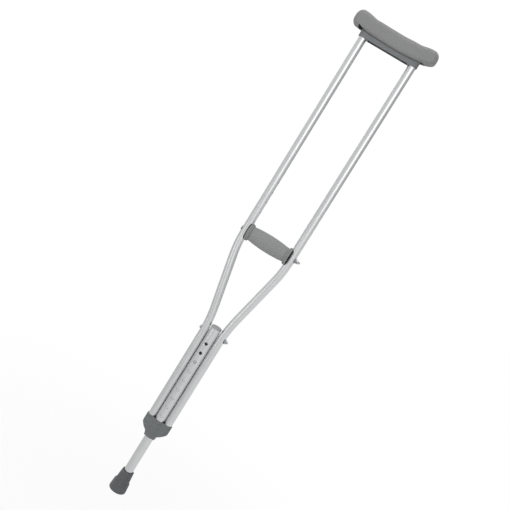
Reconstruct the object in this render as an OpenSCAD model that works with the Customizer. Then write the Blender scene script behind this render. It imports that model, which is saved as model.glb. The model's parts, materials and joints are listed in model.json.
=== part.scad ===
// Aluminium underarm crutch with a telescoping leg and a height-adjustable handgrip.
// +Z runs up the crutch, +X is its right-hand side and -Y its front. The origin is the middle
// of the rubber tip's sole. All sizes are in millimetres.

/* [Uprights] */
// Outer diameter of the two bowed uprights
upright_d = 19.05; // [18:0.05:20]
// Wall thickness of the uprights
upright_wall = 1.25; // [1:0.05:1.6]
// Distance between the uprights at the handgrip and underarm, centre to centre
upper_spread = 122; // [115:1:130]
// Angle at which the uprights run in towards the sleeve tube
bow_angle = 11.8; // [10:0.1:13]
// Bend radius just below the handgrip
upper_bend_r = 250; // [200:10:280]
// Bend radius just above the sleeve tube
lower_bend_r = 350; // [250:10:360]
// Height at which the upper bend starts
bend_start_z = 678; // [676:1:680]
// Height of the uprights' upper ends, inside the crosspiece
upright_top_z = 1189.5; // [1187:0.5:1190]

/* [Sleeve tube] */
// Outer diameter of the sleeve tube between the uprights
sleeve_d = 25.4; // [25.2:0.1:25.6]
// Wall thickness of the sleeve tube
sleeve_wall = 1.25; // [1.2:0.05:1.3]
// Gap between the sleeve tube and each upright
sleeve_gap = 0.2; // [0.2:0.1:0.8]
// Height of the sleeve tube's upper end
sleeve_top_z = 460.6; // [459:0.2:465]
// Number of height holes down the sleeve tube
hole_count = 9; // [7:1:9]
// Distance from one height hole to the next
hole_pitch = 25.4; // [25:0.1:25.8]
// Height of the uppermost height hole
top_hole_z = 420.8; // [419:0.2:424]
// Diameter of the height holes
hole_d = 8.2; // [7.8:0.1:8.4]
// Which height hole, counted from the top, the snap buttons stand in
set_hole = 3; // [3:1:3]

/* [Leg] */
// Outer diameter of the telescoping leg tube
leg_d = 22.2; // [22:0.1:22.2]
// Wall thickness of the leg tube
leg_wall = 1.2; // [1:0.05:1.4]
// Diameter of the snap buttons
button_d = 7.4; // [7:0.1:7.4]
// How far the snap buttons stand out of the sleeve tube
button_proud = 1.6; // [1.2:0.1:2]

/* [Base bracket] */
// Height of the bracket's lower edge
bracket_z = 156.5; // [154:0.5:158]
// Height of the bracket's upper edge
bracket_top_z = 204.4; // [203:0.2:206]
// Height at which the bracket's sides start to slope in
bracket_shoulder_z = 182.6; // [181:0.2:184]
// Plastic wall around the tubes
bracket_wall = 2.3; // [2:0.1:2.6]

/* [Handgrip] */
// Height of the handgrip's bolt
grip_z = 688.8; // [687:0.2:694]
// Number of handgrip bolt holes up each upright
grip_hole_count = 7; // [5:1:7]
// Diameter of the handgrip's end flanges
grip_flange_d = 42.5; // [38:0.5:43]
// Diameter of the handgrip at its middle
grip_crown_d = 40; // [36:0.5:40.5]
// Diameter of the handgrip beside its flanges
grip_waist_d = 33; // [31:0.5:35]
// Width of each end flange
grip_flange_w = 7.5; // [6:0.5:9]
// Depth to which the uprights sit in the handgrip's ends
grip_seat = 2.3; // [1.5:0.1:3]

/* [Bolts] */
// Diameter of the two cross bolts
bolt_d = 6.35; // [6:0.05:6.4]
// Diameter of the bolt holes in the tubes
bolt_hole_d = 7; // [6.8:0.1:7.2]
// Height of the bolt that ties the uprights to the sleeve tube
cross_bolt_z = 445.5; // [444:0.1:449]
// Turn of the handgrip's wing nut at rest
grip_nut_turn = 0; // [0:5:90]
// Turn of the cross bolt's wing nut at rest
cross_nut_turn = -15; // [-90:5:90]

/* [Underarm] */
// Length of the underarm pad
pad_length = 200; // [196:1:206]
// Thickness of the underarm pad
pad_thick = 35; // [33:0.5:38]
// Front-to-back depth of the underarm pad
pad_depth = 45; // [42:1:50]
// How far the pad's ends rise above its middle
pad_sag = 7; // [6:0.5:8]
// How far the pad sits to the right of the middle
pad_shift = 1; // [0:0.5:1.5]
// How much the pad's underside is cut away at its right end
pad_lift = 7; // [0:0.5:9]
// Height of the pad's lower face at its middle
pad_z = 1184.3; // [1184:0.1:1185]
// Height of the crosspiece's lower edge
crosspiece_z = 1173.5; // [1172:0.5:1175]

/* [Rubber tip] */
// Height of the rubber tip
tip_h = 54.5; // [52:0.5:58]
// Diameter of the tip's sole
tip_sole_d = 43; // [40:0.5:44]
// Diameter of the tip's upper rim
tip_rim_d = 29.4; // [28:0.1:30]
// Thickness of rubber under the leg tube
tip_floor = 13; // [11:0.5:15]

/* [Hidden] */
$fn = 96;

eps = 0.5; // how far a cutter runs past the face it opens
press = 0.05; // radial room between pieces that are pressed together
slip = 0.3; // room between pieces that slide on each other
thread_fit = 0.05; // radial room between a wing nut and its bolt

upright_r = upright_d / 2;
upright_in = upright_r - upright_wall;
sleeve_r = sleeve_d / 2;
sleeve_in = sleeve_r - sleeve_wall;
leg_r = leg_d / 2;
leg_in = leg_r - leg_wall;
bolt_r = bolt_d / 2;
upper_x = upper_spread / 2;
lower_x = sleeve_r + upright_r + sleeve_gap;

// The bow: arc, straight slope, arc
bend_lap = 0.1; // degrees that a bend runs into the straight at each end
bend_thinning = 0.1; // how much a bend's radius is drawn thin
bow_rise = 1 - cos(bow_angle);
slope_length = (upper_x - lower_x - (upper_bend_r + lower_bend_r) * bow_rise) / sin(bow_angle);
slope_top_x = upper_x - upper_bend_r * bow_rise;
slope_top_z = bend_start_z - upper_bend_r * sin(bow_angle);
bend_end_z = slope_top_z - slope_length * cos(bow_angle) - lower_bend_r * sin(bow_angle);

// The tubes stand on a shelf inside the bracket
shelf_z = bracket_shoulder_z + 3;
lobe_r = upright_r + bracket_wall;
hub_r = sleeve_r + bracket_wall;
collar_r = leg_r + 2.9;
collar_top_z = bracket_z + 5;

button_z = top_hole_z - (set_hole - 1) * hole_pitch;
leg_bottom_z = tip_floor + 1.6;
leg_top_z = button_z + 16;

cross_bolt_x = lower_x + lower_bend_r - sqrt(pow(lower_bend_r, 2) - pow(cross_bolt_z - bend_end_z, 2));
cross_face_x = cross_bolt_x + upright_r + 0.15;
grip_face_x = upper_x + upright_r + 0.08;
washer_t = 1.2;
nut_gap = 0.1;
nut_hub_h = 6;
cross_nut_scale = 0.7; // the cross bolt's wing nut is a smaller one
thread_end = 1; // how far a bolt stands out of its nut's hub
cross_nut_x = cross_face_x + washer_t + nut_gap;
grip_nut_x = grip_face_x + washer_t + nut_gap;
grip_half = upper_x - upright_r + grip_seat;
grip_core_r = 10;

// The pad and the bar inside it are bent to one centre above them
pad_r = (pow(pad_length / 2, 2) + pow(pad_sag, 2)) / (2 * pad_sag);
bend_z = pad_z + pad_r;
bar_drop = 6;
bar_thick = 9;
bar_half = 88;
bar_depth = 28;
socket_r = upright_r + 1.8;
skirt_depth = 2 * socket_r - 1;
rivet_z = crosspiece_z + 6.5;
bracket_rivet_z = shelf_z + 12;
bore_slot = 8; // width of the openings between the bracket's bores

// The leaf spring inside the leg
spring_face = 7.2; // distance from the leg's axis to the outside of each spring leaf
spring_t = 0.8;
spring_w = 9;
spring_bend_z = button_z - 42;

// ---------- shared shapes ----------

// A solid bar of radius r along the right upright's bow, from bottom_z to top_z. The bends are drawn
// a hair thinner than the straights and run a little way into them, as a bender thins a tube.
module bow_path(r, bottom_z, top_z) {
    translate([upper_x, 0, bend_start_z]) cylinder(r = r, h = top_z - bend_start_z);
    translate([upper_x - upper_bend_r, 0, bend_start_z]) bend(r, upper_bend_r, -bow_angle);
    translate([slope_top_x, 0, slope_top_z])
        rotate([0, bow_angle, 0]) translate([0, 0, -slope_length]) cylinder(r = r, h = slope_length);
    translate([lower_x + lower_bend_r, 0, bend_end_z]) bend(r, lower_bend_r, 180 - bow_angle);
    translate([lower_x, 0, bottom_z]) cylinder(r = r, h = bend_end_z - bottom_z);
}

// An arc of tube in the XZ plane about the origin, bow_angle long, from the given angle above +X
module bend(r, bend_r, from) {
    rotate([90, 0, 0]) rotate([0, 0, from - bend_lap])
        rotate_extrude(angle = bow_angle + 2 * bend_lap, $fn = 360)
            translate([bend_r, 0]) circle(r = r - bend_thinning, $fn = 96);
}

// A round hole along X, centred on x = 0
module cross_hole(d, length, z) {
    translate([-length / 2, 0, z]) rotate([0, 90, 0]) cylinder(d = d, h = length);
}

// A blind rivet through a tube's wall on its rear side, head out at face_y
module blind_rivet(face_y, wall_y) {
    head_r = 3.2;
    shank_r = 1.6;
    translate([0, face_y, 0]) rotate([-90, 0, 0]) cylinder(r1 = head_r, r2 = head_r - 1.2, h = 1.1);
    translate([0, wall_y - 1.4, 0]) rotate([-90, 0, 0]) cylinder(r = shank_r, h = face_y - wall_y + 1.6);
    translate([0, wall_y - 1.9, 0]) rotate([-90, 0, 0]) cylinder(r = 2.4, h = 1.5);
}

// The hole that a blind rivet goes through
module rivet_hole() {
    rotate([-90, 0, 0]) cylinder(r = 1.65, h = 20);
}

// A pan head with a cross recess, standing out along -X from x = 0
module pan_head(head_r, head_h) {
    recess = [1.6, head_r * 1.1, 1.1];
    difference() {
        rotate([0, -90, 0]) {
            cylinder(r = head_r, h = head_h * 0.55);
            translate([0, 0, head_h * 0.55]) cylinder(r1 = head_r, r2 = head_r * 0.62, h = head_h * 0.45);
        }
        for (turn = [0, 90])
            rotate([turn, 0, 0]) translate([-head_h - eps, -recess[1] / 2, -recess[2] / 2])
                cube([recess[0] + eps, recess[1], recess[2]]);
    }
}

// A bolt along X with its head's underside at -reach and its plain end at tip_x
module bolt(reach, tip_x, head_r, head_h) {
    chamfer = [1, 0.8];
    translate([-reach, 0, 0]) pan_head(head_r, head_h);
    rotate([0, 90, 0]) rotate_extrude() polygon([
        [0, -reach - eps],
        [bolt_r, -reach - eps],
        [bolt_r, tip_x - chamfer[0]],
        [bolt_r - chamfer[1], tip_x],
        [0, tip_x]
    ]);
}

module washer() {
    rotate([0, 90, 0]) difference() {
        cylinder(r = 6.2, h = washer_t);
        translate([0, 0, -eps]) cylinder(r = bolt_r + press, h = washer_t + 2 * eps);
    }
}

// A wing nut whose seat is at x = 0 and whose wings rise along +X
module wing_nut(turn, size) {
    wing_t = 2.4;
    rotate([turn, 0, 0]) difference() {
        union() {
            rotate([0, 90, 0]) cylinder(r1 = 4.8, r2 = 4.2, h = nut_hub_h * size);
            for (side = [-1, 1])
                translate([0, 0, -wing_t / 2]) linear_extrude(wing_t) scale(size) union() {
                    polygon([[1, 0], [5.8, 0], [10, side * 7.2], [5.2, side * 12.4], [1.8, side * 5]]);
                    translate([7.4, side * 9.2]) circle(r = 3.9);
                }
        }
        translate([-eps, 0, 0]) rotate([0, 90, 0]) cylinder(r = bolt_r + thread_fit, h = 20);
    }
}

// An arc band about the underarm bend's axis, depth along Y, from radius inner to outer
module bent_band(inner, outer, depth, half_length) {
    half_angle = asin(half_length / outer);
    translate([0, depth / 2, bend_z]) rotate([90, 0, 0]) rotate([0, 0, -90 - half_angle])
        rotate_extrude(angle = 2 * half_angle, $fn = 1440)
            translate([inner, 0]) square([outer - inner, depth]);
}

// The crosspiece without its hollows, grown by room
module crosspiece_body(room) {
    bar_out = pad_r - bar_drop;
    bent_band(bar_out - bar_thick - room, bar_out + room, bar_depth + 2 * room, bar_half + room);
    translate([-upper_x, -skirt_depth / 2 - room, crosspiece_z])
        cube([upper_spread, skirt_depth + 2 * room, pad_z + bar_drop + 4.5 - crosspiece_z]);
    for (side = [-1, 1])
        translate([side * upper_x, 0, crosspiece_z])
            cylinder(r = socket_r + room, h = pad_z + bar_drop + 6 - crosspiece_z);
}

// ---------- frame ----------

module right_upright() {
    color("silver") difference() {
        bow_path(upright_r, shelf_z, upright_top_z);
        bow_path(upright_in, shelf_z - eps, upright_top_z + eps);
        for (i = [0 : grip_hole_count - 1])
            translate([upper_x, 0, 0]) cross_hole(bolt_hole_d, upright_d + 2, grip_z + i * hole_pitch);
        translate([cross_bolt_x, 0, 0]) cross_hole(bolt_hole_d, upright_d + 2, cross_bolt_z);
        translate([upper_x, 0, rivet_z]) rivet_hole();
        translate([lower_x, 0, bracket_rivet_z]) rivet_hole();
    }
}

module left_upright() {
    mirror([1, 0, 0]) right_upright();
}

module sleeve_tube() {
    color("silver") difference() {
        translate([0, 0, shelf_z]) cylinder(r = sleeve_r, h = sleeve_top_z - shelf_z);
        translate([0, 0, shelf_z - eps]) cylinder(r = sleeve_in, h = sleeve_top_z - shelf_z + 2 * eps);
        for (i = [0 : hole_count - 1])
            translate([0, sleeve_r + 1, top_hole_z - i * hole_pitch])
                rotate([90, 0, 0]) cylinder(d = hole_d, h = sleeve_d + 2);
        cross_hole(bolt_hole_d, sleeve_d + 2, cross_bolt_z);
    }
}

module sleeve_cap() {
    plug_z = cross_bolt_z + 5;
    head_h = 4.4;
    edge = 1.6;
    color("gray") rotate_extrude() difference() {
        union() {
            translate([0, plug_z]) square([sleeve_in - press, sleeve_top_z - plug_z]);
            translate([0, sleeve_top_z]) square([sleeve_r - edge, head_h]);
            translate([0, sleeve_top_z]) square([sleeve_r, head_h - edge]);
            translate([sleeve_r - edge, sleeve_top_z + head_h - edge]) circle(r = edge);
        }
        translate([-1, plug_z - 1]) square([sleeve_in - 1.4, sleeve_top_z - plug_z]);
    }
}

module base_bracket() {
    color("dimgray") difference() {
        union() {
            // side lobes around the uprights, cut to a slope underneath
            intersection() {
                for (side = [-1, 1]) {
                    translate([side * lower_x, 0, bracket_z])
                        cylinder(r = lobe_r, h = bracket_top_z - bracket_z);
                    translate([side > 0 ? 0 : -lower_x, -lobe_r + 0.9, bracket_z])
                        cube([lower_x, 2 * lobe_r - 1.8, bracket_top_z - bracket_z]);
                }
                translate([0, 20, 0]) rotate([90, 0, 0]) linear_extrude(40) bracket_outline();
            }
            // hub around the sleeve tube, running down into the leg's collar
            rotate_extrude() polygon([
                [0, bracket_z], [collar_r - 1.2, bracket_z], [collar_r - 0.35, bracket_z + 0.35],
                [collar_r, bracket_z + 1.2], [collar_r + 0.3, collar_top_z],
                [hub_r, bracket_shoulder_z], [hub_r, bracket_top_z], [0, bracket_top_z]
            ]);
        }
        translate([0, 0, shelf_z]) cylinder(r = sleeve_r + press, h = 40);
        translate([0, 0, bracket_z - eps]) cylinder(r = leg_r + slip, h = 40);
        // the three bores run into each other, as a wall between them would be too thin to mould
        translate([-lower_x, -bore_slot / 2, shelf_z]) cube([2 * lower_x, bore_slot, 40]);
        for (side = [-1, 1]) translate([side * lower_x, 0, shelf_z]) {
            cylinder(r = upright_r + press, h = 40);
            translate([0, 0, bracket_rivet_z - shelf_z]) rivet_hole();
        }
    }
}

// Front view of the bracket: straight sides, then a slope in to the collar
module bracket_outline() {
    side_x = lower_x + lobe_r;
    polygon([
        [-side_x, bracket_top_z], [-side_x, bracket_shoulder_z + 2], [-side_x + 0.7, bracket_shoulder_z],
        [-side_x + 10.3, bracket_shoulder_z - 9.2], [-collar_r - 2.4, collar_top_z + 5.5],
        [-collar_r, collar_top_z - 1.5],
        [collar_r, collar_top_z - 1.5],
        [collar_r + 2.4, collar_top_z + 5.5], [side_x - 10.3, bracket_shoulder_z - 9.2],
        [side_x - 0.7, bracket_shoulder_z], [side_x, bracket_shoulder_z + 2], [side_x, bracket_top_z]
    ]);
}

module bracket_rivets() {
    color("silver") for (side = [-1, 1])
        translate([side * lower_x, 0, bracket_rivet_z]) blind_rivet(lobe_r, upright_in);
}

// ---------- underarm ----------

module crosspiece() {
    hollow = [upper_spread - 27, skirt_depth - 4.6, pad_z + 3.5 - crosspiece_z];
    color("gray") difference() {
        crosspiece_body(0);
        translate([-hollow[0] / 2, -hollow[1] / 2, crosspiece_z - eps]) cube(hollow + [0, 0, eps]);
        for (side = [-1, 1]) translate([side * upper_x, 0, 0]) {
            translate([0, 0, crosspiece_z - eps])
                cylinder(r = upright_r + press, h = upright_top_z - crosspiece_z + eps);
            translate([0, 0, rivet_z]) rivet_hole();
        }
    }
}

module crosspiece_rivets() {
    color("silver") for (side = [-1, 1])
        translate([side * upper_x, 0, rivet_z]) blind_rivet(socket_r, upright_in);
}

module underarm_pad() {
    corner = 12;
    slot_half = upper_x + 21;
    slot_depth = 18;
    color("slategray") difference() {
        translate([0, pad_depth / 2, 0]) rotate([90, 0, 0]) linear_extrude(pad_depth)
            offset(r = corner, $fn = 64) offset(delta = -corner) pad_outline();
        crosspiece_body(press);
        // the slot that the bar goes in by, a little longer than the crosspiece
        translate([-slot_half, -slot_depth / 2, crosspiece_z])
            cube([2 * slot_half, slot_depth, pad_z + bar_drop + 2 - crosspiece_z]);
    }
}

// Front view of the pad: a bar bent upwards at both ends, cut away under its right end
module pad_outline() {
    steps = 24;
    half = pad_length / 2;
    lift_from = half - 48;
    function bend_point(r, x, lift) =
        [x + pad_shift, bend_z - sqrt(r * r - x * x) + lift * pow(max(0, (x - lift_from) / (half - lift_from)), 1.5)];
    xs = [for (i = [0 : steps]) half - i * pad_length / steps];
    polygon(concat(
        [for (x = xs) bend_point(pad_r, x, pad_lift)],
        [for (i = [0 : steps]) bend_point(pad_r - pad_thick, -xs[i], 0)]
    ));
}

// ---------- cross bolt ----------

module cross_bolt() {
    color("darkgray") translate([0, 0, cross_bolt_z])
        bolt(cross_face_x, cross_nut_x + nut_hub_h * cross_nut_scale + thread_end, 4.3, 2.9);
}

module cross_bolt_washer() {
    color("gainsboro") translate([cross_face_x, 0, cross_bolt_z]) washer();
}

module cross_bolt_wing_nut() {
    color("darkgray") translate([cross_nut_x, 0, cross_bolt_z]) wing_nut(cross_nut_turn, cross_nut_scale);
}

// ---------- handgrip ----------

// Room for the two uprights that the handgrip's ends are shaped to
module grip_seats() {
    for (side = [-1, 1])
        translate([side * upper_x, 0, grip_z - 40]) cylinder(r = upright_r + slip, h = 80);
}

module handgrip_core() {
    color("dimgray") difference() {
        translate([-grip_half, 0, grip_z]) rotate([0, 90, 0]) cylinder(r = grip_core_r, h = 2 * grip_half);
        cross_hole(bolt_d + 4 * press, 2 * grip_half + 2, grip_z);
        grip_seats();
    }
}

module handgrip_sleeve() {
    bore_r = grip_core_r + press;
    flange_r = grip_flange_d / 2;
    waist_r = grip_waist_d / 2;
    crown = (grip_crown_d - grip_waist_d) / 2;
    barrel_half = grip_half - grip_flange_w;
    steps = 12;
    barrel = [for (i = [0 : steps])
        let (t = -1 + 2 * i / steps) [waist_r + crown * (1 - t * t), t * barrel_half]];
    color("slategray") difference() {
        translate([0, 0, grip_z]) rotate([0, 90, 0]) rotate_extrude() polygon(concat(
            [[bore_r, -grip_half], [flange_r - 1.5, -grip_half], [flange_r, -grip_half + 1.5],
             [flange_r, -barrel_half - 2.5], [flange_r - 1.5, -barrel_half - 0.6]],
            barrel,
            [[flange_r - 1.5, barrel_half + 0.6], [flange_r, barrel_half + 2.5],
             [flange_r, grip_half - 1.5], [flange_r - 1.5, grip_half], [bore_r, grip_half]]
        ));
        grip_seats();
    }
}

module handgrip_bolt() {
    color("darkgray") translate([0, 0, grip_z])
        bolt(grip_face_x, grip_nut_x + nut_hub_h + thread_end, 5, 1.7);
}

module handgrip_washer() {
    color("gainsboro") translate([grip_face_x, 0, grip_z]) washer();
}

module handgrip_wing_nut() {
    color("darkgray") translate([grip_nut_x, 0, grip_z]) wing_nut(grip_nut_turn, 1);
}

// ---------- leg ----------

module leg_tube() {
    color("silver") difference() {
        translate([0, 0, leg_bottom_z]) cylinder(r = leg_r, h = leg_top_z - leg_bottom_z);
        translate([0, 0, leg_bottom_z - eps]) cylinder(r = leg_in, h = leg_top_z - leg_bottom_z + 2 * eps);
        translate([0, leg_r + 1, button_z]) rotate([90, 0, 0]) cylinder(d = hole_d, h = leg_d + 2);
    }
}

module leg_guide_bush() {
    color("white") difference() {
        union() {
            translate([0, 0, leg_top_z - 7]) cylinder(r = leg_in - press, h = 7);
            translate([0, 0, leg_top_z]) cylinder(r = sleeve_in - slip, h = 2);
        }
        translate([0, 0, leg_top_z - 8]) cylinder(r = leg_in - 1.6, h = 11);
    }
}

module snap_spring() {
    leaf_h = button_z + 6.5 - spring_bend_z;
    color("lightsteelblue") {
        for (side = [-1, 1])
            translate([-spring_w / 2, side > 0 ? spring_face - spring_t : -spring_face, spring_bend_z])
                cube([spring_w, spring_t, leaf_h]);
        translate([-spring_w / 2, 0, spring_bend_z]) rotate([0, 90, 0]) rotate([0, 0, -90])
            rotate_extrude(angle = 180) translate([spring_face - spring_t, 0]) square([spring_t, spring_w]);
    }
}

// A snap button that stands out towards -Y through the leg and the sleeve tube
module snap_button() {
    base_y = spring_face + press;
    dome_h = 0.9;
    shank_h = sleeve_r + button_proud - dome_h - base_y;
    color("darkgray") translate([0, -base_y, button_z]) rotate([90, 0, 0]) {
        cylinder(r = 4.9, h = 1);
        cylinder(d = button_d, h = shank_h);
        translate([0, 0, shank_h]) cylinder(d1 = button_d, d2 = button_d * 0.66, h = dome_h);
    }
}

module snap_button_front() {
    snap_button();
}

module snap_button_back() {
    mirror([0, 1, 0]) snap_button();
}

// ---------- rubber tip ----------

module rubber_tip() {
    sole_r = tip_sole_d / 2;
    rim_r = tip_rim_d / 2;
    step_z = 26;
    color([0.3, 0.32, 0.33]) difference() {
        rotate_extrude() polygon([
            [0, 0], [sole_r - 1.6, 0], [sole_r - 0.4, 0.6], [sole_r, 2], [sole_r - 0.3, 7],
            [sole_r - 1.4, step_z - 6], [sole_r - 1.6, step_z - 2.5], [sole_r - 2.3, step_z - 0.8],
            [rim_r + 2.6, step_z + 0.2], [rim_r + 2, step_z + 1.8], [rim_r + 0.3, tip_h - 6],
            [rim_r + 0.2, tip_h - 1], [rim_r - 0.6, tip_h], [0, tip_h]
        ]);
        translate([0, 0, tip_floor]) cylinder(r = leg_r + press, h = tip_h);
        // tread rings in the sole
        for (r = [5, 9.5, 14]) rotate_extrude() translate([r, -eps]) square([2, 1.5 + eps]);
    }
}

module tip_washer() {
    color("gainsboro") translate([0, 0, tip_floor]) difference() {
        cylinder(r = leg_r - 0.2, h = leg_bottom_z - tip_floor);
        translate([0, 0, -eps]) cylinder(r = 3, h = 4);
    }
}

left_upright();
right_upright();
sleeve_tube();
sleeve_cap();
base_bracket();
bracket_rivets();
crosspiece();
crosspiece_rivets();
underarm_pad();
cross_bolt();
cross_bolt_washer();
cross_bolt_wing_nut();
handgrip_core();
handgrip_sleeve();
handgrip_bolt();
handgrip_washer();
handgrip_wing_nut();
leg_tube();
leg_guide_bush();
snap_spring();
snap_button_front();
snap_button_back();
rubber_tip();
tip_washer();
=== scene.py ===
"""The looks of an underarm crutch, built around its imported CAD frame. Metres, +Z up the crutch."""

import json
import math

import bmesh
import bpy
from mathutils import Matrix, Vector, noise


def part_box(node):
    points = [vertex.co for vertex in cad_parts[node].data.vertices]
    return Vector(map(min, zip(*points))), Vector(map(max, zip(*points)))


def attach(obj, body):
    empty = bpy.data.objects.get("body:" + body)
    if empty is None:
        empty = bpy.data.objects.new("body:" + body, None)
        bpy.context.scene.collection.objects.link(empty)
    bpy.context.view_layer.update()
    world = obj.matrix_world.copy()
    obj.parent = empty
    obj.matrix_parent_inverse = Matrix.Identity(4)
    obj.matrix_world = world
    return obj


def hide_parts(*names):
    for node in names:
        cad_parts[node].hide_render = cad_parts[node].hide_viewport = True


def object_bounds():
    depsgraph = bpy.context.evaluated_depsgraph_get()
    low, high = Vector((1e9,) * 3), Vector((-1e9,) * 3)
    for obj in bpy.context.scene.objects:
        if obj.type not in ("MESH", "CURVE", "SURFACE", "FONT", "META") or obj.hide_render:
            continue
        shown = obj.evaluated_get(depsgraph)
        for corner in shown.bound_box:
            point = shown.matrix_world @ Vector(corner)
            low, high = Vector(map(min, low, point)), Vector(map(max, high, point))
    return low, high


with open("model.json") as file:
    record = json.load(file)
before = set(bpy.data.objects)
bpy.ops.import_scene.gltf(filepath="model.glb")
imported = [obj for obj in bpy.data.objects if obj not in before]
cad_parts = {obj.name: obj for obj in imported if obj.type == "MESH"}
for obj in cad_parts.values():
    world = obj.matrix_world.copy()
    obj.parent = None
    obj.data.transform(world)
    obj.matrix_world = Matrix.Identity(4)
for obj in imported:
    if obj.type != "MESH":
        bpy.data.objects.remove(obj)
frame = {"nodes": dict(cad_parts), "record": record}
cad_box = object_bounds()
nodes = frame["nodes"]

MM = 0.001
FIT = 0.05 * MM  # radial room around a piece that is pressed in
SLIP = 0.3 * MM  # radial room around a piece that slides
PAST = 1 * MM  # how far a cutter runs past the face it opens
AXIS = 0.05 * MM  # how far a turned solid stays from its axis
CREASE = math.radians(35)  # edges sharper than this stay sharp


# ---------- sizes, from the frame ----------

def slice_box(node, low, high):
    """The box of a node's vertices whose height lies from low to high."""
    points = [v.co for v in nodes[node].data.vertices if low <= v.co.z <= high]
    lowest = Vector(min(p[i] for p in points) for i in range(3))
    highest = Vector(max(p[i] for p in points) for i in range(3))
    return lowest, highest


def joint_reach(name):
    """The far end of a sliding joint's range."""
    joints = frame["record"]["behaviour"]["joints"]
    return next(joint["range_m"][1] for joint in joints if joint["name"] == name)


upright_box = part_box("right_upright")
upright_r = (upright_box[1].y - upright_box[0].y) / 2
upper_x = upright_box[1].x - upright_r
upright_top_z = upright_box[1].z
shelf_z = upright_box[0].z  # the shelf in the bracket that the tubes stand on
foot_box = slice_box("right_upright", shelf_z, shelf_z + 20 * MM)
lower_x = (foot_box[0].x + foot_box[1].x) / 2
sleeve_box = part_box("sleeve_tube")
sleeve_r = sleeve_box[1].x
leg_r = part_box("leg_tube")[1].x
leg_travel = joint_reach("leg_extend")


# ---------- mesh helpers ----------

def mesh_of(name, points, faces):
    mesh = bpy.data.meshes.new(name)
    mesh.from_pydata([tuple(p) for p in points], [], faces)
    return mesh


def finish_object(name, mesh):
    """An object of that mesh: outward faces, smooth except along creases."""
    bm = bmesh.new()
    bm.from_mesh(mesh)
    bmesh.ops.remove_doubles(bm, verts=bm.verts, dist=1e-6)
    bmesh.ops.recalc_face_normals(bm, faces=bm.faces)
    bm.to_mesh(mesh)
    bm.free()
    mesh.polygons.foreach_set("use_smooth", [True] * len(mesh.polygons))
    mesh.set_sharp_from_angle(angle=CREASE)
    made = bpy.data.objects.new(name, mesh)
    bpy.context.scene.collection.objects.link(made)
    return made


def loft(name, rings):
    """A closed solid through rings of equal length, with a flat cap at each end."""
    count = len(rings[0])
    points = [p for ring in rings for p in ring]
    faces = [
        (i * count + j, i * count + (j + 1) % count, (i + 1) * count + (j + 1) % count, (i + 1) * count + j)
        for i in range(len(rings) - 1) for j in range(count)
    ]
    last = (len(rings) - 1) * count
    faces += [tuple(range(count)), tuple(last + j for j in range(count))]
    return finish_object(name, mesh_of(name, points, faces))


def lathe(name, profile, segments, place):
    """A solid of revolution of a closed outline of (radius, height), put in place by a function."""
    count = len(profile)
    points, faces = [], []
    for j in range(segments):
        angle = math.tau * j / segments
        points += [place(radius, height, angle) for radius, height in profile]
    for j in range(segments):
        a, b = j * count, (j + 1) % segments * count
        faces += [(a + i, b + i, b + (i + 1) % count, a + (i + 1) % count) for i in range(count)]
    return finish_object(name, mesh_of(name, points, faces))


def about_z(radius, height, angle):
    """Places a lathe's point about the Z axis."""
    return (radius * math.cos(angle), radius * math.sin(angle), height)


def about_x(axis_z=0.0):
    """Places a lathe's points about a line along X at height axis_z, with their height along X."""
    return lambda radius, height, angle: (
        height, radius * math.cos(angle), axis_z + radius * math.sin(angle))


def circle(radius, segments=96):
    """The points (a, b) of a circle."""
    return [about_z(radius, 0, math.tau * j / segments)[:2] for j in range(segments)]


def quarter(steps):
    """The angles of a quarter turn in equal steps."""
    return [math.pi / 2 * k / steps for k in range(steps + 1)]


def rounded(corners, steps=5):
    """A closed outline of (x, y, radius) corners, each rounded by an arc of its radius."""
    outline = []
    for i, (x, y, radius) in enumerate(corners):
        if radius <= 0:
            outline.append((x, y))
            continue
        here = Vector((x, y))
        to_last = Vector(corners[i - 1][:2]) - here
        to_next = Vector(corners[(i + 1) % len(corners)][:2]) - here
        a, b = to_last.normalized(), to_next.normalized()
        half = a.angle(b) / 2
        reach = min(radius / math.tan(half), to_last.length * 0.49, to_next.length * 0.49)
        radius = reach * math.tan(half)
        middle = here + (a + b).normalized() * (radius / math.sin(half))
        start, end = here + a * reach - middle, here + b * reach - middle
        turn = start.angle_signed(end)
        for k in range(steps + 1):
            spoke = Matrix.Rotation(-turn * k / steps, 2) @ start
            outline.append(tuple(middle + spoke))
    return outline


def cylinder(name, radius, low, high, x=0.0):
    """A plain cylinder along Z, used only as a cutter."""
    return loft(name, [[(x + a, b, z) for a, b in circle(radius)] for z in (low, high)])


def cylinder_pair(name, radius, low, high, x):
    """The same cutter on the left and on the right, x from the middle."""
    return [cylinder(f"{name}_{side}", radius, low, high, side * x) for side in (-1, 1)]


def block(name, low, high):
    """A plain box, used only as a cutter."""
    corners = [(low[0], low[1]), (high[0], low[1]), (high[0], high[1]), (low[0], high[1])]
    return loft(name, [[(x, y, z) for x, y in corners] for z in (low[2], high[2])])


def combine(piece, others, operation="DIFFERENCE"):
    """Cuts the others out of piece, or joins them to it, and removes them."""
    for other in others:
        modifier = piece.modifiers.new("Combine", "BOOLEAN")
        modifier.operation = operation
        modifier.solver = "EXACT"
        modifier.object = other
    bpy.context.view_layer.update()
    done = bpy.data.meshes.new_from_object(piece.evaluated_get(bpy.context.evaluated_depsgraph_get()))
    name = piece.name
    for used in [piece, *others]:
        bpy.data.objects.remove(used)
    return finish_object(name, done)


def uneven(piece, amount, size):
    """Moves each point along its normal by smooth noise, as a soft moulding is never quite true."""
    mesh = piece.data
    normals = [v.normal.copy() for v in mesh.vertices]
    for v, normal in zip(mesh.vertices, normals):
        v.co += normal * amount * noise.noise(v.co / size)
    mesh.update()
    return piece


def fit_in(piece, node, material_slot, body):
    """Shows piece in place of a CAD node, riding on its body."""
    piece.data.materials.clear()
    piece.data.materials.append(slot_materials[material_slot])
    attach(piece, body)
    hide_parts(node)
    return piece


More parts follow.
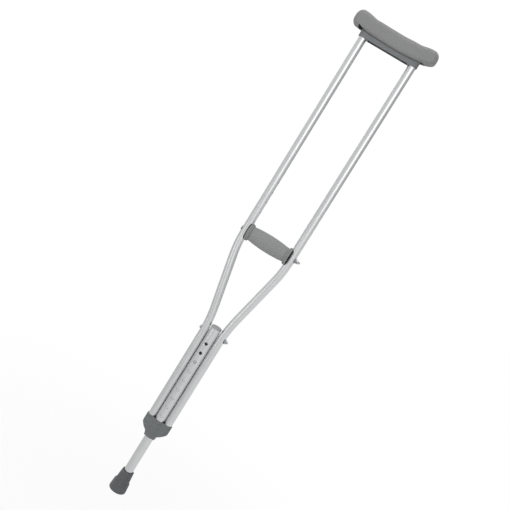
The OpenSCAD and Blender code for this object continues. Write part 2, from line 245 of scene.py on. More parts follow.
# ---------- node graphs ----------

class Graph:
    """Short ways to add to a node tree. Noise and patterns are sized in metres."""

    def __init__(self, tree):
        self.tree = tree
        tree.nodes.clear()
        self.where = self.add("ShaderNodeTexCoord").outputs
        self.place = self.where["Object"]

    def add(self, kind, **settings):
        node = self.tree.nodes.new(kind)
        for name, value in settings.items():
            setattr(node, name, value)
        return node

    def put(self, socket, value):
        """Links a socket to another node's socket, or sets it. A colour needs no alpha."""
        if isinstance(value, bpy.types.NodeSocket):
            self.tree.links.new(value, socket)
        elif socket.type == "RGBA":
            socket.default_value = (*value, 1.0)
        else:
            socket.default_value = value

    def set(self, node, **values):
        """Sets or links sockets by name, with _ for a space."""
        for name, value in values.items():
            self.put(node.inputs[name.replace("_", " ")], value)

    def math(self, operation, a, b):
        node = self.add("ShaderNodeMath", operation=operation)
        self.put(node.inputs[0], a)
        self.put(node.inputs[1], b)
        return node.outputs[0]

    def stretched(self, scale):
        """The place on the piece, scaled by three factors."""
        node = self.add("ShaderNodeMapping")
        self.set(node, Vector=self.place, Scale=scale)
        return node.outputs[0]

    def noise(self, size, detail=4.0, rough=0.55, stretch=None, distort=0.0):
        """Noise from 0 to 1 whose lumps are about size across."""
        node = self.add("ShaderNodeTexNoise")
        where = self.stretched(stretch) if stretch else self.place
        self.set(node, Vector=where, Scale=1 / size, Detail=detail, Roughness=rough, Distortion=distort)
        return node.outputs["Fac"]

    def cells(self, size):
        """Distance to the nearest of the cells' centres, which lie about size apart."""
        node = self.add("ShaderNodeTexVoronoi")
        self.set(node, Vector=self.place, Scale=1 / size)
        return node.outputs["Distance"]

    def spread(self, value, low, high, to_low=0.0, to_high=1.0):
        """value mapped from low..high to to_low..to_high, clamped."""
        node = self.add("ShaderNodeMapRange", interpolation_type="SMOOTHSTEP")
        self.set(node, Value=value, From_Min=low, From_Max=high, To_Min=to_low, To_Max=to_high)
        return node.outputs[0]

    def blend(self, factor, a, b):
        """Colour a where factor is 0, b where it is 1."""
        node = self.add("ShaderNodeMix", data_type="RGBA")
        for socket, value in zip((node.inputs[0], node.inputs[6], node.inputs[7]), (factor, a, b)):
            self.put(socket, value)
        return node.outputs[2]


class Finish(Graph):
    """A material with one principled shader."""

    def __init__(self, name, **constants):
        self.material = bpy.data.materials.new(name)
        self.material.use_nodes = True
        super().__init__(self.material.node_tree)
        self.shader = self.add("ShaderNodeBsdfPrincipled")
        self.set(self.shader, **constants)
        self.output = self.add("ShaderNodeOutputMaterial")
        self.set(self.output, Surface=self.shader.outputs["BSDF"])

    def bump(self, height, depth, strength=1.0, under=None):
        """Adds relief of that depth, over an earlier bump if one is given."""
        node = self.add("ShaderNodeBump")
        self.set(node, Height=height, Distance=depth, Strength=strength)
        if under is not None:
            self.set(node, Normal=under)
        return node.outputs[0]

    def edges(self, radius):
        """1 on convex edges sharper than the radius, 0 on flat faces."""
        node = self.add("ShaderNodeBevel", samples=4)
        self.set(node, Radius=radius)
        geometry = self.add("ShaderNodeNewGeometry")
        dot = self.add("ShaderNodeVectorMath", operation="DOT_PRODUCT")
        self.put(dot.inputs[0], node.outputs[0])
        self.put(dot.inputs[1], geometry.outputs["Normal"])
        return self.spread(dot.outputs["Value"], 0.995, 0.8)

    def hollows(self, reach, light=0.7, dark=0.3, alone=True):
        """1 deep inside the piece's own bores and hollows, 0 in the open; not alone: next to others too."""
        # an ambient-occlusion mask; the materials paint shade into their colour with it
        node = self.add("ShaderNodeAmbientOcclusion", samples=8, only_local=alone)
        self.set(node, Distance=reach)
        return self.spread(node.outputs["AO"], light, dark)

    def surface(self, **links):
        self.set(self.shader, **links)
        return self.material


# ---------- materials ----------

def scaled(colour, factor):
    """A colour made lighter or darker."""
    return tuple(min(1, factor * c) for c in colour)


def aluminium():
    """Satin drawn tube: fine lines along it, cloudy anodising, handling marks, and painted shade in its
    bores and in the creases next to other parts.
    """
    g = Finish("Satin_Aluminium", Metallic=1.0)
    lines = g.noise(0.5 * MM, detail=3, stretch=(1, 1, 0.02))
    clouds = g.noise(14 * MM, detail=5, stretch=(1, 1, 0.45))
    marks = g.noise(4 * MM, detail=6, rough=0.7, stretch=(1, 1, 0.35), distort=0.8)
    marks = g.spread(marks, 0.58, 0.72)
    tone = g.blend(clouds, (0.72, 0.73, 0.735), (0.84, 0.85, 0.855))
    tone = g.blend(g.math("MULTIPLY", lines, 0.25), tone, (0.66, 0.67, 0.68))
    tone = g.blend(g.math("MULTIPLY", marks, 0.30), tone, (0.62, 0.62, 0.63))
    # painted shade: near black deep in the tube's own bores and hollows
    tone = g.blend(g.hollows(20 * MM), tone, (0.02, 0.02, 0.02))
    # painted shade: darker in the narrow creases where the tube meets other parts
    tone = g.blend(g.hollows(2 * MM, 0.45, 0.15, alone=False), tone, (0.22, 0.22, 0.22))
    rough = g.math("ADD", g.math("MULTIPLY", lines, 0.08), 0.24)
    rough = g.math("ADD", rough, g.math("MULTIPLY", marks, 0.10))
    normal = g.bump(lines, 0.01 * MM, 0.3, g.bump(clouds, 0.12 * MM, 0.25))
    return g.surface(Base_Color=tone, Roughness=rough, Normal=normal)


def moulded(name, dark, light, grain, rough=0.55):
    """Injection-moulded plastic with a fine grain, faint flow clouds, rubbed, lighter edges, and painted
    shade in its hollows and next to other parts.
    """
    g = Finish(name, IOR=1.46)
    clouds = g.noise(20 * MM, detail=4)
    pits = g.cells(grain)
    worn = g.math("MULTIPLY", g.edges(0.6 * MM), g.spread(g.noise(4 * MM, detail=5), 0.35, 0.65))
    tone = g.blend(clouds, dark, light)
    tone = g.blend(g.math("MULTIPLY", worn, 0.45), tone, scaled(light, 2.2))
    # painted shade: darker deep in the piece's own hollows
    tone = g.blend(g.hollows(20 * MM, 0.8, 0.45), tone, scaled(dark, 0.05))
    # painted shade: darker where the piece lies close to other parts
    tone = g.blend(g.hollows(10 * MM, 0.6, 0.35, alone=False), tone, scaled(dark, 0.06))
    rough = g.math("ADD", g.math("MULTIPLY", clouds, 0.12), rough - 0.06)
    normal = g.bump(pits, 0.06 * MM, 0.4, g.bump(g.noise(6 * MM, detail=3), 0.2 * MM, 0.25))
    return g.surface(Base_Color=tone, Roughness=rough, Normal=normal)


def foam_rubber(name, dark, light, pore):
    """Skinned foam rubber: matte, dense with pores, cloudy from handling, with painted shade in its hollows
    and next to other parts.
    """
    g = Finish(name, IOR=1.42, Sheen_Weight=0.2, Sheen_Roughness=0.5)
    clouds = g.noise(30 * MM, detail=5, rough=0.6)
    pores = g.cells(pore)
    fine = g.noise(pore * 0.5, detail=2)
    tone = g.blend(clouds, dark, light)
    tone = g.blend(g.spread(pores, 0.0, 0.45, 0.30, 0.0), tone, scaled(dark, 0.6))
    # painted shade: darker deep in the piece's own hollows
    tone = g.blend(g.hollows(14 * MM, 0.75, 0.4), tone, scaled(dark, 0.05))
    # painted shade: darker where the piece lies close to other parts
    tone = g.blend(g.hollows(10 * MM, 0.72, 0.45, alone=False), tone, scaled(dark, 0.06))
    rough = g.math("ADD", g.math("MULTIPLY", clouds, 0.15), 0.70)
    normal = g.bump(fine, 0.08 * MM, 0.3, g.bump(clouds, 1.2 * MM, 0.3))
    normal = g.bump(pores, 0.15 * MM, 0.35, normal)
    return g.surface(Base_Color=tone, Roughness=rough, Normal=normal)


def brushed_metal(name):
    """Small hardware: cool grey, cloudy and finely brushed."""
    g = Finish(name, Metallic=1.0)
    clouds = g.noise(3 * MM, detail=5, rough=0.65)
    scratches = g.noise(0.6 * MM, detail=4, stretch=(0.2, 1, 1))
    tone = g.blend(clouds, (0.44, 0.45, 0.47), (0.58, 0.59, 0.61))
    rough = g.math("ADD", g.math("MULTIPLY", clouds, 0.25), 0.28)
    return g.surface(Base_Color=tone, Roughness=rough, Normal=g.bump(scratches, 0.03 * MM, 0.5))


def spring_steel():
    """Blued spring steel with a brushed lengthwise grain."""
    g = Finish("Spring_Steel", Metallic=1.0)
    grain = g.noise(0.5 * MM, detail=4, stretch=(1, 1, 0.05))
    tone = g.blend(grain, (0.28, 0.30, 0.34), (0.40, 0.42, 0.46))
    rough = g.math("ADD", g.math("MULTIPLY", grain, 0.2), 0.25)
    return g.surface(Base_Color=tone, Roughness=rough, Normal=g.bump(grain, 0.03 * MM, 0.5))


slot_materials = {
    "aluminium_tube": aluminium(),
    "rivet_aluminium": brushed_metal("Rivet_Aluminium"),
    "cap_plastic": moulded("Grey_Cap_Plastic", (0.28, 0.28, 0.28), (0.33, 0.33, 0.33), 0.6 * MM),
    "bracket_plastic": moulded(
        "Dark_Bracket_Plastic", (0.12, 0.13, 0.13), (0.15, 0.16, 0.165), 0.6 * MM),
    "crosspiece_plastic": moulded(
        "Grey_Crosspiece_Plastic", (0.145, 0.152, 0.158), (0.18, 0.19, 0.196), 0.7 * MM),
    "pad_foam": foam_rubber(
        "Underarm_Foam_Rubber", (0.195, 0.197, 0.20), (0.24, 0.24, 0.242), 0.9 * MM),
    "core_plastic": moulded("Black_Core_Plastic", (0.03, 0.03, 0.032), (0.05, 0.05, 0.05), 0.6 * MM),
    "grip_rubber": foam_rubber("Grip_Foam_Rubber", (0.215, 0.221, 0.22), (0.26, 0.266, 0.264), 0.8 * MM),
    "zinc_steel": brushed_metal("Zinc_Plated_Steel"),
    "spring_steel": spring_steel(),
    "bush_nylon": moulded("Natural_Nylon", (0.62, 0.61, 0.56), (0.72, 0.71, 0.66), 0.5 * MM, 0.4),
    "tip_rubber": foam_rubber("Tip_Rubber", (0.075, 0.08, 0.085), (0.105, 0.11, 0.115), 0.7 * MM),
}

for subpart in frame["record"]["subparts"]:
    cad = nodes[subpart["node"]]
    cad.data.materials.clear()
    cad.data.materials.append(slot_materials[subpart["material_slot"]])


# ---------- underarm pad and crosspiece ----------

pad_low, pad_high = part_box("underarm_pad")
pad_half = (pad_high.x - pad_low.x) / 2
pad_shift = (pad_high.x + pad_low.x) / 2
pad_depth = pad_high.y - pad_low.y
pad_thick = 35 * MM
pad_sag = 7 * MM  # how far its ends rise above its middle
pad_lift = 7 * MM  # how much its underside is cut away at the right end
pad_bend_r = (pad_half ** 2 + pad_sag ** 2) / (2 * pad_sag)  # the lower face's bend radius
pad_bend_z = pad_low.z + pad_bend_r
bar_half, bar_depth = 88 * MM, 28 * MM  # the crosspiece's flat bar, inside the pad
bar_low, bar_high = 6 * MM, 15 * MM  # its faces' height above the pad's lower face
skirt_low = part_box("crosspiece")[0].z
skirt_high = pad_low.z + 10.5 * MM
slot_half = upper_x + 21 * MM  # the slot that the bar goes in by is a little longer than the skirt
slot_y = 9 * MM
rivet_head = 1.1 * MM
socket_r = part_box("crosspiece_rivets")[1].y - rivet_head


def bent(x, y, rise):
    """A point of the pad's bend: rise above its lower face, at x along it."""
    return (x, y, pad_bend_z - math.sqrt((pad_bend_r - rise) ** 2 - x ** 2))


def lobe(x):
    """The fuller ends of the pad's upper face: a slight dip, then a slight rise, towards either end."""
    start, length, height = 36 * MM, 56 * MM, 1.4 * MM
    share = (abs(x) - start) / length
    if not 0 < share < 1:
        return 0.0
    return -height * math.sin(math.tau * share) * math.sin(math.pi * share)


def end_inset(distance, radius):
    """How far a rounded end of that radius draws in at some distance from the very end."""
    if distance >= radius:
        return 0.0
    return radius - math.sqrt(radius ** 2 - (radius - distance) ** 2)


def pad_section(half_depth, low, high, low_r, high_r, crown):
    """Outline of the pad across its length: a box with rounded corners and a crowned top."""
    room = min(half_depth, (high - low) / 2) * 0.98
    low_r, high_r = min(low_r, room), min(high_r, room)
    flat, wall = 6, 6  # how many steps each flat and each wall has
    half = [((half_depth - low_r) * k / flat, low) for k in range(flat)]
    half += [(half_depth - low_r + low_r * math.sin(t), low + low_r - low_r * math.cos(t))
             for t in quarter(8)]
    half += [(half_depth, low + low_r + (high - high_r - low - low_r) * k / wall) for k in range(1, wall)]
    half += [(half_depth - high_r + high_r * math.cos(t), high - high_r + high_r * math.sin(t))
             for t in quarter(10)]
    half += [((half_depth - high_r) * (1 - k / flat), high) for k in range(1, flat + 1)]
    outline = []
    for y, rise in half:
        share = max(0, (rise - low) / (high - low))
        outline.append((y, rise - crown * (y / half_depth) ** 2 * share ** 3))
    return outline + [(-y, rise) for y, rise in outline[-2:0:-1]]


def underarm_pad():
    """Skinned foam pad bent upwards at both blunt ends, with a slot underneath for the crosspiece."""
    plan_r, top_r = 14 * MM, 16 * MM  # how its ends are rounded, from above and along their upper edge
    left_r, right_r = 8 * MM, 5 * MM  # and along their lower edges
    waist = 0.9 * MM  # how much its sides draw in at the middle
    lift_from = pad_half - 48 * MM
    ends = [pad_half - plan_r * (1 - math.cos(t)) for t in quarter(12)]
    inner = pad_half - plan_r - 2 * MM
    half_steps = 22
    middle = [inner * (1 - k / half_steps) for k in range(2 * half_steps + 1)]
    rings = []
    for x in ends + middle + [-x for x in reversed(ends)]:
        distance = pad_half - abs(x)
        lift = pad_lift * max(0, (x - lift_from) / (pad_half - lift_from)) ** 1.5
        drawn = end_inset(distance, plan_r) + waist * max(0, math.cos(math.pi * x / pad_half))
        low = end_inset(distance, right_r if x > 0 else left_r) + lift
        high = pad_thick + lobe(x) - end_inset(distance, top_r)
        outline = pad_section(pad_depth / 2 - drawn, low, high, 6 * MM, 12 * MM, crown=2.2 * MM)
        rings.append([bent(x, y, rise) for y, rise in outline])
    pad = uneven(loft("Underarm_Pad", rings), 0.35 * MM, 22 * MM)
    pad.data.transform(Matrix.Translation((pad_shift, 0, 0)))
    pad = combine(pad, pad_slot(room=0.2 * MM))
    return fit_in(pad, "underarm_pad", "pad_foam", "frame")


def pad_slot(room):
    """The cutters for the pad's slot: the crosspiece's own shape, a longer slit, and an open left end."""
    slit_rise, mouth_rise = 8 * MM, 14 * MM  # how high each reaches above the pad's lower face
    mouth_front, mouth_rear = -18.5 * MM, 15 * MM
    mouth_top = pad_low.z + mouth_rise
    return [
        bent_bar("Pad_Slot_Bar", room),
        stadium("Pad_Slot", skirt_low, skirt_high + 0.5 * MM, room),
        block("Pad_Slit", (-slot_half, -slot_y, skirt_low), (slot_half, slot_y, pad_low.z + slit_rise)),
        block("Pad_Mouth", (-slot_half, mouth_front, skirt_low), (-upper_x, mouth_rear, mouth_top)),
        pad_notch(),
    ]


def pad_notch():
    """The slot's break through the pad's front at its left end: a wedge that rises inwards."""
    outer, inner = -slot_half, -upper_x - 8 * MM
    roof = [(outer, 3.5 * MM), (outer + 2 * MM, 6.2 * MM), (inner, 1.5 * MM)]
    foot = [(inner, -9 * MM), (outer, -9 * MM)]
    climb = 8 * MM
    rings = []
    for y, extra in ((-pad_depth / 2 - PAST, 0), (-8 * MM, climb)):
        corners = [(x, rise + extra) for x, rise in roof] + foot
        rings.append([(x, y, pad_low.z + rise) for x, rise in corners])
    return loft("Pad_Notch", rings)


def bent_bar(name, room):
    """The flat bar inside the pad, bent as the pad is, and grown by room."""
    steps = 40
    half_y = bar_depth / 2 + room
    low, high = bar_low - room, bar_high + room
    rings = []
    for k in range(steps + 1):
        x = (bar_half + room) * (2 * k / steps - 1)
        corners = [(-half_y, low), (half_y, low), (half_y, high), (-half_y, high)]
        rings.append([bent(x, y, rise) for y, rise in corners])
    return loft(name, rings)


def stadium(name, low, high, room, edge=0.0):
    """A straight-sided block with round ends about the uprights; its lower edge is rounded by edge."""
    steps = 24

    def ring(z, inset):
        radius = socket_r + room - inset
        points = []
        for side, first in ((1, -90), (-1, 90)):
            for k in range(steps + 1):
                t = math.radians(first + 180 * k / steps)
                points.append((side * upper_x + radius * math.cos(t), radius * math.sin(t), z))
        return points

    turns = quarter(5) if edge else [0]
    rings = [ring(low + edge * (1 - math.cos(t)), edge * (1 - math.sin(t))) for t in turns]
    return loft(name, [*rings, ring(high, 0)])


def crosspiece():
    """Moulded crosspiece: a hollow skirt with two sockets for the uprights, and the bar inside the pad."""
    wall, web, edge = 2.3 * MM, 3 * MM, 1 * MM
    body = stadium("Crosspiece", skirt_low, skirt_high, 0, edge)
    body = combine(body, [bent_bar("Bar", 0)], "UNION")
    half_x, half_y = upper_x - socket_r - 1.2 * MM, socket_r - wall
    hollow = block("Hollow", (-half_x, -half_y, skirt_low - PAST), (half_x, half_y, pad_low.z + web))
    bores = cylinder_pair("Bore", upright_r + FIT, skirt_low - PAST, upright_top_z, upper_x)
    body = combine(body, [hollow, *bores])
    return fit_in(body, "crosspiece", "crosspiece_plastic", "frame")


# ---------- handgrip ----------

def handgrip():
    """Foam rubber grip: a crowned barrel between two grooved flanges that seat against the uprights."""
    low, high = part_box("handgrip_sleeve")
    half = high.x
    axis_z = (low.z + high.z) / 2
    flange_r = (high.z - low.z) / 2
    core_r, waist_r, crown_r = 10 * MM, 16.6 * MM, 20 * MM
    bore_r = core_r + FIT
    barrel_half = half - 8 * MM
    end = rounded([
        (barrel_half + 0.2 * MM, waist_r + 0.3 * MM, 0),
        (barrel_half + 0.9 * MM, flange_r - 1.0 * MM, 1.1 * MM),
        (half - 4.6 * MM, flange_r - 0.6 * MM, 0.7 * MM),
        (half - 4.1 * MM, flange_r - 1.6 * MM, 0.3 * MM),
        (half - 3.6 * MM, flange_r - 0.2 * MM, 0.5 * MM),
        (half - 2.2 * MM, flange_r, 0.6 * MM),
        (half - 0.1 * MM, flange_r - 0.4 * MM, 1.0 * MM),
        (half, flange_r - 3.2 * MM, 0.6 * MM),
        (half - 1.0 * MM, flange_r - 4.2 * MM, 0.6 * MM),
        (half - 1.0 * MM, bore_r + 2.2 * MM, 0.6 * MM),
        (half - 0.4 * MM, bore_r + 1.6 * MM, 0.4 * MM),
        (half - 0.4 * MM, bore_r, 0),
    ], steps=4)
    steps = 40
    ts = [-1 + 2 * k / steps for k in range(1, steps)]
    barrel = [(barrel_half * t, waist_r + (crown_r - waist_r) * (1 - abs(t) ** 2.2)) for t in ts]
    outline = [(-x, r) for x, r in reversed(end)] + barrel + end
    sleeve = lathe("Handgrip_Sleeve", [(r, x) for x, r in outline], 128, about_x(axis_z))
    sleeve = uneven(sleeve, 0.18 * MM, 14 * MM)
    past = 5 * MM
    seats = cylinder_pair("Seat", upright_r + SLIP, low.z - past, high.z + past, upper_x)
    sleeve = combine(sleeve, seats)
    return fit_in(sleeve, "handgrip_sleeve", "grip_rubber", "grip")


# ---------- rubber tip ----------

def rubber_tip():
    """Flared ferrule: a tapered collar, a step and a wide base with ring treads underneath."""
    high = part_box("rubber_tip")[1]
    sole_r, top = high.x, high.z
    rim_r = slice_box("rubber_tip", top - 3 * MM, top)[1].x - 0.2 * MM
    floor_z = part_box("tip_washer")[0].z
    bore_r = leg_r + FIT
    step_z = 26 * MM
    outer = rounded([
        (sole_r - 0.4 * MM, 0, 1.2 * MM),
        (sole_r, 3 * MM, 1.5 * MM),
        (sole_r - 0.5 * MM, 10 * MM, 1 * MM),
        (sole_r - 1.7 * MM, step_z - 2.4 * MM, 3 * MM),
        (sole_r - 3.4 * MM, step_z, 1.2 * MM),
        (rim_r + 2.5 * MM, step_z + 0.8 * MM, 1.2 * MM),
        (rim_r + 0.6 * MM, top - 7 * MM, 8 * MM),
        (rim_r, top - 3 * MM, 1.2 * MM),
        (rim_r, top, 0.8 * MM),
        (bore_r + 0.4 * MM, top, 0.4 * MM),
        (bore_r, top - 1.2 * MM, 0),
        (bore_r, floor_z, 0),
        (AXIS, floor_z, 0),
        (AXIS, 0, 0),
    ])
    groove_w, groove_h, draft = 2 * MM, 1.5 * MM, 0.15 * MM
    tread = []
    for r in (5 * MM, 9.5 * MM, 14 * MM):
        tread += [(r, 0), (r + draft, groove_h), (r + groove_w - draft, groove_h), (r + groove_w, 0)]
    tip = lathe("Rubber_Tip", outer + tread, 112, about_z)
    return fit_in(tip, "rubber_tip", "tip_rubber", "leg")


# ---------- base bracket ----------

def smooth_max(a, b, blend):
    """The larger of two lengths, with a rounded change-over; the smaller for a negative blend."""
    return blend * math.log(math.exp(a / blend) + math.exp(b / blend))


def ray_to_circle(c, s, centre, radius):
    """Distance from the axis to a circle about (centre, 0) along the ray (c, s), or 0 if it misses."""
    inside = radius ** 2 - (centre * s) ** 2
    return max(0.0, centre * c + math.sqrt(inside)) if inside > 0 else 0.0


def base_bracket():
    """Moulded bracket: three lobes around the tubes that slope in to the leg's collar."""
    low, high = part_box("base_bracket")
    shoulder_z = shelf_z - 3 * MM
    collar_top_z = low.z + 5 * MM
    hub_r = high.y
    lobe_r = high.x - lower_x
    flat_y = lobe_r - 0.9 * MM  # the lobes' front and back are flattened here
    collar_r = leg_r + 2.9 * MM
    edge = 1 * MM
    flank_blend, hub_blend = 0.35 * MM, 0.8 * MM  # how softly the outline's parts run together
    blend_gain = 0.1 * MM  # what that adds to the outline, taken off again
    segments = 240
    knots = [  # half width of the front outline: (height, x)
        (low.z, collar_r - 0.2 * MM),
        (collar_top_z, collar_r + 0.6 * MM),
        (collar_top_z + 5.5 * MM, collar_r + 2.4 * MM),
        (shoulder_z - 9.2 * MM, high.x - 10.3 * MM),
        (shoulder_z - 1 * MM, high.x - 0.6 * MM),
        (shoulder_z + 1 * MM, high.x),
        (high.z, high.x),
    ]

    def side_x(z):
        for (z0, x0), (z1, x1) in zip(knots, knots[1:]):
            if z <= z1:
                return x0 + (x1 - x0) * (z - z0) / (z1 - z0)
        return high.x

    def outline_r(angle, z):
        """Distance from the axis to the bracket's outside."""
        rise = min(1, max(0, (z - collar_top_z) / (shoulder_z - collar_top_z)))
        hub = collar_r + (hub_r - collar_r) * rise
        c, s = max(abs(math.cos(angle)), 1e-6), max(abs(math.sin(angle)), 1e-6)
        slab = min(side_x(z) / c, flat_y / s)
        if slab * c > lower_x:
            slab = 0
        far = max(ray_to_circle(c, s, lower_x, lobe_r), slab)
        far = smooth_max(far, min(side_x(z) / c, 2 * high.x), -flank_blend)
        return smooth_max(hub, far, hub_blend) - blend_gain

    def ring(z, inset):
        turns = [math.tau * j / segments for j in range(segments)]
        return [about_z(outline_r(t, z) - inset, z, t) for t in turns]

    steps = 34
    heights = [(low.z + edge * (1 - math.cos(t)), edge * (1 - math.sin(t))) for t in quarter(4)]
    heights += [(low.z + edge + (high.z - low.z - 2 * edge) * k / steps, 0) for k in range(1, steps)]
    heights += [(high.z - edge * (1 - math.cos(t)), edge * (1 - math.sin(t))) for t in reversed(quarter(4))]
    body = loft("Base_Bracket", [ring(z, inset) for z, inset in heights])
    above = high.z + PAST
    web_y = 4 * MM  # the three bores run into each other along this gap
    body = combine(body, [
        cylinder("Leg_Bore", leg_r + SLIP, low.z - PAST, above),
        cylinder("Sleeve_Bore", sleeve_r + FIT, shelf_z, above),
        *cylinder_pair("Side_Bore", upright_r + FIT, shelf_z, above, lower_x),
        block("Open_Web", (-lower_x, -web_y, shelf_z), (lower_x, web_y, above)),
    ])
    return fit_in(body, "base_bracket", "bracket_plastic", "frame")


# ---------- sleeve cap ----------

def sleeve_cap():
    """Plug cap with a domed, slightly dished top."""
    low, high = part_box("sleeve_cap")
    seat_z = sleeve_box[1].z
    plug_r = sleeve_r - 1.3 * MM
    plug_in = plug_r - 1.35 * MM
    lid_z = seat_z - 1.6 * MM  # the underside of its closed top
    outline = rounded([
        (plug_in, low.z, 0),
        (plug_r - 0.2 * MM, low.z, 0.3 * MM),
        (plug_r, low.z + 1 * MM, 0.3 * MM),
        (plug_r, seat_z, 0),
        (sleeve_r, seat_z, 0.15 * MM),
        (sleeve_r, high.z - 0.4 * MM, 1.5 * MM),
        (sleeve_r - 3.4 * MM, high.z, 2 * MM),
        (AXIS, high.z - 0.5 * MM, 0),
        (AXIS, lid_z, 0),
        (plug_in, lid_z, 0.6 * MM),
    ], steps=6)
    cap = lathe("Sleeve_Cap", outline, 96, about_z)
    return fit_in(cap, "sleeve_cap", "cap_plastic", "frame")


# ---------- wing nuts ----------

def wing_nut(node, name, body, turn):
    """Cast wing nut: a cone hub and two rounded wings run together by fillets."""
    low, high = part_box(node)
    full_height = 11.3  # of the larger nut, in millimetres, as its outline below is
    size = (high.x - low.x) / full_height
    hub_h, thread_r = 6 * size, 3.24 * MM
    hub = rounded([(AXIS, 0, 0), (4.8 * MM, 0, 0.5 * MM), (4.1 * MM, hub_h, 0.8 * MM), (AXIS, hub_h, 0)], 4)
    nut = lathe(name, hub, 48, about_x())
    corners = [
        (1.0, 1, 0), (0.9, 4.6, 1), (4.2, 9.6, 3), (5.2, 12.8, 3),
        (9.6, 12.9, 3.2), (11.3, 8.8, 3.4), (7.8, 5.2, 3), (5.9, 1, 0),
    ]
    outline = [Vector(p) for p in rounded([[size * c for c in corner] for corner in corners])]
    middle = sum(outline, Vector((0, 0))) / len(outline)
    half_t, edge = 1.2 * MM, 0.8 * MM
    layers = [(-half_t, edge), (-half_t + edge * 0.3, edge * 0.3), (-half_t + edge, 0)]
    layers += [(-z, inset) for z, inset in reversed(layers)]
    wings = []
    for side in (-1, 1):
        rings = []
        for z, inset in layers:
            drawn = [p - (p - middle).normalized() * inset for p in outline]
            rings.append([(p.x, side * p.y, z) for p in drawn])
        wings.append(loft(f"{name}_wing", rings))
    nut = combine(nut, wings, "UNION")
    remesh = nut.modifiers.new("Melt", "REMESH")
    remesh.mode = "VOXEL"
    remesh.voxel_size = 0.28 * MM
    soften = nut.modifiers.new("Soften", "SMOOTH")
    soften.iterations = 6
    soften.factor = 0.5
    thread = loft(f"{name}_thread", [[(x, a, b) for a, b in circle(thread_r)] for x in (-2 * MM, 20 * MM)])
    nut = combine(nut, [thread])
    nut.modifiers.new("Triangles", "TRIANGULATE")
    place = Matrix.Translation((low.x, 0, (low.z + high.z) / 2))
    nut.data.transform(place @ Matrix.Rotation(math.radians(turn), 4, "X"))
    return fit_in(nut, node, "zinc_steel", body)


underarm_pad()
crosspiece()
handgrip()
rubber_tip()
base_bracket()
sleeve_cap()
wing_nut("handgrip_wing_nut", "Handgrip_Wing_Nut", "grip_nut", 0)
wing_nut("cross_bolt_wing_nut", "Cross_Bolt_Wing_Nut", "cross_nut", -15)


# ---------- studio ----------

def studio_floor():
    """A pale floor below the leg's full reach. It glows, so that it is white in the picture."""
    floor_z, floor_r, floor_t = -leg_travel - 5 * MM, 14, 0.02
    rings = [[(x, y, z) for x, y in circle(floor_r)] for z in (floor_z - floor_t, floor_z)]
    floor = loft("Floor", rings)
    g = Finish("Pale_Floor", Roughness=0.9)
    g.set(g.shader, Base_Color=g.blend(g.noise(0.4), (0.87, 0.87, 0.87), (0.89, 0.89, 0.89)))
    seen = g.add("ShaderNodeLightPath").outputs
    far = g.add("ShaderNodeVectorMath", operation="LENGTH")
    across = g.add("ShaderNodeSeparateXYZ")
    g.put(far.inputs[0], g.place)
    g.put(across.inputs[0], g.place)

    # mirrored in the metal it is dimmer, and more so on the left than on the right
    dimming = g.spread(across.outputs["X"], -1.0, 1.0, 0.42, 0.25)
    strength = g.math("SUBTRACT", 1.0, g.math("MULTIPLY", seen["Is Glossy Ray"], dimming))
    glow = g.add("ShaderNodeEmission")
    g.set(glow, Strength=strength)

    # its glow lights no matt surface, and is a little weaker close to the crutch
    whiten = g.spread(far.outputs["Value"], 0.1, 1.2, 0.85, 1.0)
    unlit = g.math("SUBTRACT", 1.0, seen["Is Diffuse Ray"])
    mix = g.add("ShaderNodeMixShader")
    g.put(mix.inputs[0], g.math("MULTIPLY", whiten, unlit))
    g.put(mix.inputs[1], g.shader.outputs[0])
    g.put(mix.inputs[2], glow.outputs[0])
    g.set(g.output, Surface=mix.outputs[0])
    floor.data.materials.append(g.material)


def area_light(name, place, target, size, power):
    """A soft rectangular lamp at place that faces target."""
    data = bpy.data.lights.new(name, "AREA")
    data.shape = "RECTANGLE"
    data.size, data.size_y = size
    data.energy = power
    lamp = bpy.data.objects.new(name, data)
    lamp.location = place
    lamp.rotation_euler = (Vector(target) - Vector(place)).to_track_quat("-Z", "Y").to_euler()
    bpy.context.scene.collection.objects.link(lamp)
    return lamp


def lamps():
    """Five soft lamps. The metal does not mirror the one in front."""
    middle = (cad_box[0] + cad_box[1]) / 2
    area_light("Key", (0.95, -2.2, 1.42), middle, (1.9, 1.5), 8)
    area_light("Side", (-1.15, -1.3, 0.25), (0, 0, 0.5), (0.5, 0.5), 0.9)
    area_light("Back", (-1.2, 1.9, 1.8), middle, (1.0, 1.6), 4)
    area_light("Top", (0, 0, 3.2), (0, 0, 0), (2.4, 2.4), 26)
    front = area_light("Front", (-0.5, -2.4, 1.7), middle, (1.2, 1.2), 22)
    front.visible_glossy = False


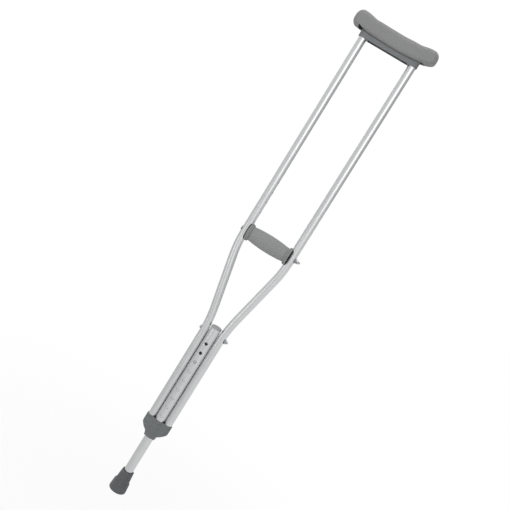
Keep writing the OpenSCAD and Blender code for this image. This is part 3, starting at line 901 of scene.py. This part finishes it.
def white_room():
    """A white room, with a darker flank on the right for the metal to reflect."""
    world = bpy.data.worlds.new("Studio")
    bpy.context.scene.world = world
    world.use_nodes = True
    g = Graph(world.node_tree)
    seen = g.add("ShaderNodeLightPath").outputs
    split = g.add("ShaderNodeSeparateXYZ")
    g.put(split.inputs[0], g.where["Generated"])
    turn = g.math("ARCTAN2", split.outputs["X"], split.outputs["Y"])
    ramp = g.add("ShaderNodeValToRGB")
    g.put(ramp.inputs[0], g.math("ADD", g.math("DIVIDE", turn, math.tau), 0.5))
    ramp.color_ramp.interpolation = "B_SPLINE"
    # degrees about the crutch: 0 is behind it, positive is on its right
    greys = [
        (-180, 1.0), (-150, 0.92), (-125, 0.84), (-85, 0.90), (-50, 0.92), (0, 0.95),
        (45, 0.48), (80, 0.46), (120, 0.66), (150, 0.92), (180, 1.0),
    ]
    stops = ramp.color_ramp.elements
    while len(stops) < len(greys):
        stops.new(0.5)
    for stop, (degrees, grey) in zip(stops, greys):
        stop.position = (degrees + 180) / 360
        stop.color = (grey, grey, grey, 1)
    light = g.add("ShaderNodeBackground")
    g.set(light, Color=g.blend(seen["Is Camera Ray"], ramp.outputs["Color"], (1.7, 1.7, 1.7)),
          Strength=g.spread(seen["Is Glossy Ray"], 0, 1, 0.6, 0.8))
    g.set(g.add("ShaderNodeOutputWorld"), Surface=light.outputs[0])


def camera():
    """Looks from in front, a little from the right and from above, rolled so that the crutch leans."""
    azimuth, elevation, roll = (math.radians(a) for a in (5.82, 8.37, 31.69))
    target = Vector((-0.0131, 0, 0.6518))
    distance = 1.5881
    back = Vector((math.sin(azimuth) * math.cos(elevation), -math.cos(azimuth) * math.cos(elevation),
                   math.sin(elevation)))
    level = Vector((math.cos(azimuth), math.sin(azimuth), 0))
    upright = back.cross(level)
    right = math.cos(roll) * level + math.sin(roll) * upright
    up = back.cross(right)
    data = bpy.data.cameras.new("Camera")
    data.sensor_width = 36
    data.lens = 49.93
    shot = bpy.data.objects.new("Camera", data)
    turn = Matrix((right, up, back)).transposed()
    shot.matrix_world = Matrix.Translation(target + distance * back) @ turn.to_4x4()
    bpy.context.scene.collection.objects.link(shot)
    bpy.context.scene.camera = shot


studio_floor()
lamps()
white_room()
camera()
bpy.context.scene.view_settings.view_transform = "Standard"
